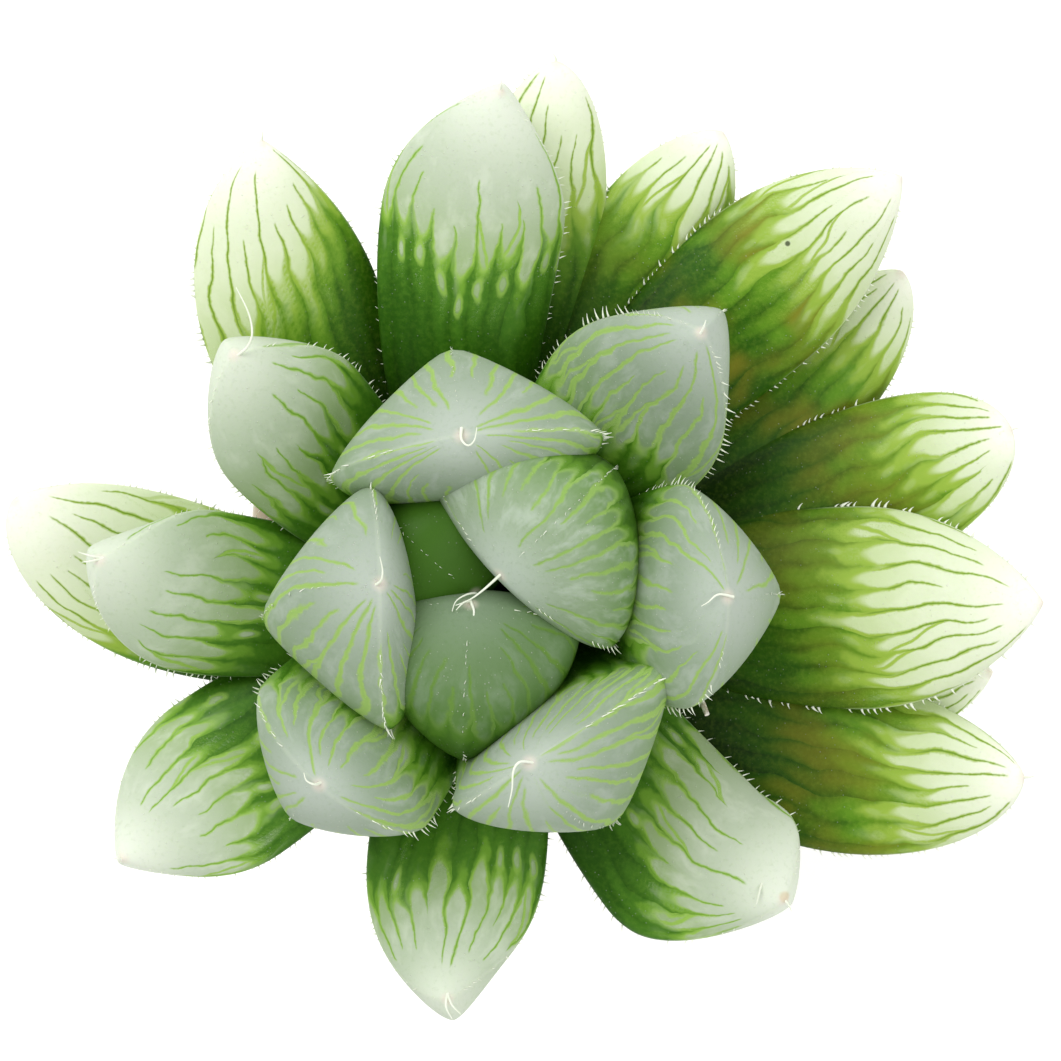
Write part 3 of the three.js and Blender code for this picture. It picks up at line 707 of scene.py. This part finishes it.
def growHairs(name, lines, thickness, taper, material):
    points, edges = [], []
    for line in lines:
        first = len(points)
        points += list(line)
        edges += [(first + step, first + step + 1) for step in range(len(line) - 1)]
    carrier = buildMesh(f"{name}Lines", points, edges, [])
    tree = Grower(f"tapered {name}")
    across = tree.size("Thickness", thickness * mm)
    narrowing = tree.size("Taper", taper)
    line = tree.node("GeometryNodeMeshToCurve", inputs={"Mesh": tree.carrier})
    line = tree.node("GeometryNodeCurveSplineType", {"spline_type": "CATMULL_ROM"}, {"Curve": line})
    line = tree.node("GeometryNodeResampleCurve", {"mode": "COUNT"}, {"Curve": line, "Count": 20})
    scale = 1 - tree.node("GeometryNodeSplineParameter") * narrowing
    ring = tree.node("GeometryNodeCurvePrimitiveCircle", inputs={"Resolution": 8, "Radius": across / 2})
    swept = {"Curve": line, "Profile Curve": ring, "Scale": scale, "Fill Caps": True}
    piece = tree.grow(name, carrier, tree.node("GeometryNodeCurveToMesh", inputs=swept), material)
    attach(piece, "root")
    print(name, "made:", len(lines))


def buildAwns(material):
    lines = []
    for number, route in awns["routes"]:
        tip = leafPoints(leaves[number - 1], np.ones(1), np.zeros(1))[0][0]
        lines.append([tip + np.array(step) * mm for step in route])
    growHairs("awns", lines, awns["thickness"], awns["taper"], material)


# a dry flower stalk, left between two leaves: points in mm in the plant's own frame
stalk = {
    "thickness": 1.4, "taper": 0.7, "papery": linear(236, 231, 220), "brown": linear(198, 186, 166),
    "route": [(8.0, -8.5, 56.0), (11.8, -11.2, 62.5), (13.3, -13.0, 65.9), (14.0, -14.6, 67.2)],
}


def buildStalk():
    paint = Paint("dry stalk")
    place = paint.place()
    drawn = paint.node("ShaderNodeVectorMath", {"operation": "MULTIPLY"}, {0: place, 1: (3.0, 3.0, 0.6)})
    fibres = paint.noise(drawn, 900.0)
    colour = paint.mix(fibres.ease(0.4, 0.65), stalk["papery"], stalk["brown"])
    material = paint.finish(colour, 0.8 + fibres * 0.1, fibres, 0.0002)
    route = [np.array(point) * mm for point in stalk["route"]]
    growHairs("stalk", [route], stalk["thickness"], stalk["taper"], material)


horn = hornMaterial()
buildTeeth(horn)
buildAwns(horn)
buildStalk()


# ---- the pot: a profile turned about the Z axis, with drain holes

pot = {
    "height": 48, "footRadius": 17.2, "bodyRadius": 22.4, "collarHeight": 10, "collarStep": 1.2,
    "wall": 2.6, "floor": 3.4, "lipRadius": 1.1, "drainRadius": 2.4, "drainCircle": 9, "drains": 3,
    "rows": 300, "segments": 96,
    "glaze": linear(206, 199, 184), "shade": linear(188, 178, 158), "speck": linear(120, 96, 70),
    "clay": linear(176, 136, 104), "clayShade": linear(168, 130, 98), "bareFoot": (1.6, 2.1),
}


def potMaterial():
    paint = Paint("pot glaze")
    place = paint.place()
    height = paint.part(place, 2) / mm
    cloud = paint.noise(place, 45.0, 3.0)
    colour = paint.mix(cloud.ease(0.35, 0.7), pot["glaze"], pot["shade"])
    specks = (1 - paint.cells(place, 520.0).ease(0.05, 0.13)) * paint.noise(place, 160.0).ease(0.45, 0.6)
    colour = paint.mix(specks * 0.7, colour, pot["speck"])
    # the glaze runs thin on the lip and the collar's lower edge, and stops above the foot
    collarEdge = pot["height"] - pot["collarHeight"] - 0.1
    thin = height.ease(pot["height"] - 1, pot["height"]) + (1 - abs(height - collarEdge).ease(0.2, 1.2)) * 0.7
    colour = paint.mix((thin * 0.45).least(1.0), colour, pot["clay"])
    bare = 1 - (height + cloud * 0.8).ease(*pot["bareFoot"])
    clay = paint.mix(paint.noise(place, 700.0), pot["clay"], pot["clayShade"])
    colour = paint.mix(bare, colour, clay)
    rings = (height * 5.2 + cloud * 2).sine() * 0.5
    roughness = 0.32 + cloud * 0.12 + bare * 0.4
    relief = rings * 0.5 + paint.noise(place, 260.0) + bare * paint.noise(place, 1800.0) * 1.5
    return paint.finish(colour, roughness, relief, 0.00009, Specular_IOR_Level=0.45)


def buildPot(material):
    rim = pot["bodyRadius"] + pot["collarStep"]
    collar = pot["height"] - pot["collarHeight"]
    corners = [  # radius, height and rounding
        (0, 0, 0),
        (pot["footRadius"], 0, 0.9),
        (pot["bodyRadius"], collar - pot["collarStep"], 0.8),
        (rim, collar, 0.7),
        (rim, pot["height"], pot["lipRadius"]),
        (rim - pot["wall"], pot["height"], pot["lipRadius"]),
        (pot["footRadius"] - pot["wall"], pot["floor"], 2.0),
        (0, pot["floor"], 0),
    ]
    points = [(radius * mm, 0, height * mm) for radius, height, _ in corners]
    carrier = buildMesh("potProfile", points, [(step, step + 1) for step in range(len(points) - 1)], [])
    rounding = carrier.data.attributes.new("rounding", "FLOAT", "POINT")
    rounding.data.foreach_set("value", [corner[2] * mm for corner in corners])

    tree = Grower("turned pot")
    rows = tree.size("Rows", pot["rows"], "Int")
    segments = tree.size("Segments", pot["segments"], "Int")
    drains = tree.size("Drains", pot["drains"], "Int")
    drainCircle = tree.size("Drain circle", pot["drainCircle"] * mm)
    drainRadius = tree.size("Drain radius", pot["drainRadius"] * mm)
    line = tree.node("GeometryNodeMeshToCurve", inputs={"Mesh": tree.carrier})
    rounded = {"Curve": line, "Count": 8, "Radius": tree.named("rounding"), "Limit Radius": True}
    line = tree.node("GeometryNodeFilletCurve", {"mode": "POLY"}, rounded)
    sheet = {"Size X": 1.0, "Size Y": 1.0, "Vertices X": rows, "Vertices Y": segments + 1}
    grid = tree.node("GeometryNodeMeshGrid", inputs=sheet)
    flat = tree.node("GeometryNodeInputPosition")
    sampling = {"mode": "FACTOR", "use_all_curves": True}
    sampled = {"Curves": line, "Factor": tree.part(flat, 0) + 0.5}
    profile = tree.node("GeometryNodeSampleCurve", sampling, sampled, "Position")
    turn = (tree.part(flat, 1) + 0.5) * 2 * math.pi
    radius = tree.part(profile, 0)
    place = tree.vector(radius * turn.cosine(), radius * turn.sine(), tree.part(profile, 2))
    shell = tree.node("GeometryNodeSetPosition", inputs={"Geometry": grid, "Position": place})
    shell = tree.node("GeometryNodeMergeByDistance", inputs={"Geometry": shell, "Distance": 0.000005})
    shell = tree.node("GeometryNodeFlipFaces", inputs={"Mesh": shell})
    circle = tree.node("GeometryNodeMeshCircle", inputs={"Vertices": drains, "Radius": drainCircle})
    drill = {"Vertices": 32, "Radius": drainRadius, "Depth": pot["floor"] * 3 * mm}
    drill = tree.node("GeometryNodeMeshCylinder", inputs=drill)
    drill = tree.node("GeometryNodeInstanceOnPoints", inputs={"Points": circle, "Instance": drill})
    drill = tree.node("GeometryNodeRealizeInstances", inputs={"Geometry": drill})
    solver = {"operation": "DIFFERENCE", "solver": "MANIFOLD"}
    cut = tree.node("GeometryNodeMeshBoolean", solver, {"Mesh 1": shell, "Mesh 2": drill})
    piece = tree.grow("pottedBowl", carrier, cut, material, math.radians(35))
    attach(piece, "root")
    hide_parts("pot")
    print("pot made, faces:", len(piece.data.polygons))


buildPot(potMaterial())


# ---- soil, grit and stem

soil = {
    "belowRim": 3, "mound": 1.2, "stemHole": 4.5, "rings": 12, "sides": 48,
    "gritSpread": 19.4, "grainRadius": 0.55, "grainsPerSquareCm": 55, "seed": 11,
    "dark": linear(52, 40, 30), "light": linear(104, 84, 62),
    "pumice": linear(196, 184, 160), "lava": linear(110, 70, 52),
}


def soilMaterial():
    paint = Paint("soil")
    place = paint.place()
    crumbs = paint.noise(place, 700.0, 4.0, 0.7)
    clods = paint.cells(place, 420.0)
    colour = paint.mix(crumbs.ease(0.35, 0.7), soil["dark"], soil["light"])
    return paint.finish(colour, 0.85 + crumbs * 0.1, crumbs + clods, 0.0006)


def grainMaterial():
    paint = Paint("pumice grit")
    place = paint.place()
    patch = paint.node("ShaderNodeTexVoronoi", inputs={"Vector": place, "Scale": 600.0}, out="Color")
    kind = paint.part(patch, 0)
    pits = paint.noise(place, 2200.0, 2.0)
    colour = paint.mix(kind.ease(0.55, 0.6), soil["pumice"], soil["lava"])
    colour = paint.mix(pits.ease(0.5, 0.75) * 0.5, colour, soil["dark"])
    return paint.finish(colour, 0.8 + pits * 0.15, pits, 0.0002)


def buildGrit(material):
    rings, sides = soil["rings"], soil["sides"]
    points, faces = [], []
    top = pot["height"] - soil["belowRim"]
    for ring in range(rings + 1):
        for side in range(sides):
            turn = side / sides * 2 * math.pi
            out = soil["stemHole"] + (soil["gritSpread"] - soil["stemHole"]) * ring / rings
            height = top + soil["mound"] * (1 - float(soft(out / soil["gritSpread"])))
            points.append((out * math.cos(turn) * mm, out * math.sin(turn) * mm, height * mm))
            if ring < rings:
                here, after = ring * sides + side, ring * sides + (side + 1) % sides
                faces.append((here, here + sides, after + sides, after))
    carrier = buildMesh("soilTop", points, [], faces)
    tree = Grower("scattered grit")
    radius = tree.size("Grain radius", soil["grainRadius"] * mm)
    density = tree.size("Grains per square metre", soil["grainsPerSquareCm"] * 10000)
    seed = tree.size("Seed", soil["seed"], "Int")
    scatter = {"Mesh": tree.carrier, "Distance Min": radius * 1.2, "Density Max": density, "Seed": seed}
    spots = tree.node("GeometryNodeDistributePointsOnFaces", {"distribute_method": "POISSON"}, scatter)
    grain = tree.node("GeometryNodeMeshIcoSphere", inputs={"Radius": radius, "Subdivisions": 2})
    lumps = tree.noise(tree.node("GeometryNodeInputPosition"), 1500.0, 1.0) - 0.5
    shift = {0: tree.node("GeometryNodeInputNormal"), "Scale": lumps * radius * 1.4}
    push = tree.node("ShaderNodeVectorMath", {"operation": "SCALE"}, shift)
    grain = tree.node("GeometryNodeSetPosition", inputs={"Geometry": grain, "Offset": push})
    anyWay = tree.randomVector((0, 0, 0), (6.3, 6.3, 6.3), seed)
    turn = tree.node("FunctionNodeEulerToRotation", inputs={0: anyWay})
    sizes = tree.randomVector((0.4, 0.4, 0.4), (1.3, 1.1, 1), seed + 1)
    placed = {"Points": spots, "Instance": grain, "Rotation": turn, "Scale": sizes}
    shape = tree.node("GeometryNodeInstanceOnPoints", inputs=placed)
    piece = tree.grow("grit", carrier, shape, material)
    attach(piece, "root")
    print("grit made, faces:", len(piece.data.polygons))


stem = {"bark": linear(112, 94, 58), "pale": linear(160, 146, 100), "dark": linear(84, 66, 42)}


def stemMaterial():
    paint = Paint("stem bark")
    place = paint.place()
    scars = (paint.part(place, 2) / mm * 2.6 + paint.noise(place, 300.0) * 3).sine()
    colour = paint.mix(scars.ease(-0.4, 0.6), stem["bark"], stem["pale"])
    colour = paint.mix(paint.noise(place, 900.0).ease(0.4, 0.7) * 0.5, colour, stem["dark"])
    return paint.finish(colour, 0.75 + scars * 0.05, scars, 0.0003)


def dress(node, material):  # gives a solid that is kept as it is its material
    for slot in bpy.data.objects[node].material_slots:
        slot.material = material


dress("soil", soilMaterial())
dress("stem", stemMaterial())
buildGrit(grainMaterial())


# ---- the photograph's view: straight down on the rosette, through a long lens

view = {"distance": 300, "planeAboveLeafLevel": 16, "picturePixels": 1061, "mmPerPixel": 0.08, "sensor": 36}


def buildCamera():
    data = bpy.data.cameras.new("camera")
    data.sensor_width = view["sensor"]
    data.lens = view["sensor"] * view["distance"] / (view["picturePixels"] * view["mmPerPixel"])
    data.clip_start = 0.01
    camera = bpy.data.objects.new("camera", data)
    camera.location = (0, 0, (leafLevel + view["planeAboveLeafLevel"] + view["distance"]) * mm)
    bpy.context.scene.collection.objects.link(camera)
    bpy.context.scene.camera = camera


studio = {
    "sky": 0.66,
    "floorSize": 3.0,
    "floor": linear(253, 253, 252),
    "floorShade": linear(250, 250, 248),
    "floorGlow": 0.25,
    "aimHeight": 0.06,
    "softboxes": [
        dict(place=(-0.45, 0.5, 0.75), size=0.7, power=6),
        dict(place=(0.55, -0.25, 0.8), size=0.8, power=2.9),
    ],
}


def buildStudio():
    world = bpy.data.worlds.new("studio")
    world.use_nodes = True
    world.node_tree.nodes["Background"].inputs["Color"].default_value = (1, 1, 1, 1)
    world.node_tree.nodes["Background"].inputs["Strength"].default_value = studio["sky"]
    bpy.context.scene.world = world
    for number, box in enumerate(studio["softboxes"]):
        data = bpy.data.lights.new(f"softbox{number}", "AREA")
        data.size = box["size"]
        data.energy = box["power"]
        light = bpy.data.objects.new(f"softbox{number}", data)
        light.location = box["place"]
        aim = -np.array(box["place"]) + np.array([0, 0, studio["aimHeight"]])
        light.rotation_mode = "QUATERNION"
        light.rotation_quaternion = Vector(aim).to_track_quat("-Z", "Y")
        bpy.context.scene.collection.objects.link(light)
    half = studio["floorSize"] / 2
    corners = [(-half, -half, 0), (half, -half, 0), (half, half, 0), (-half, half, 0)]
    paint = Paint("floor")
    grain = paint.noise(paint.place(), 40.0)
    tone = paint.mix(grain, studio["floor"], studio["floorShade"])
    glow = {"Emission_Color": (1, 1, 1, 1), "Emission_Strength": studio["floorGlow"]}
    floor = buildMesh("floor", corners, [], [(0, 1, 2, 3)], paint.finish(tone, 0.6 + grain * 0.1, **glow))


buildCamera()
buildStudio()
bpy.context.scene.view_settings.view_transform = "Standard"
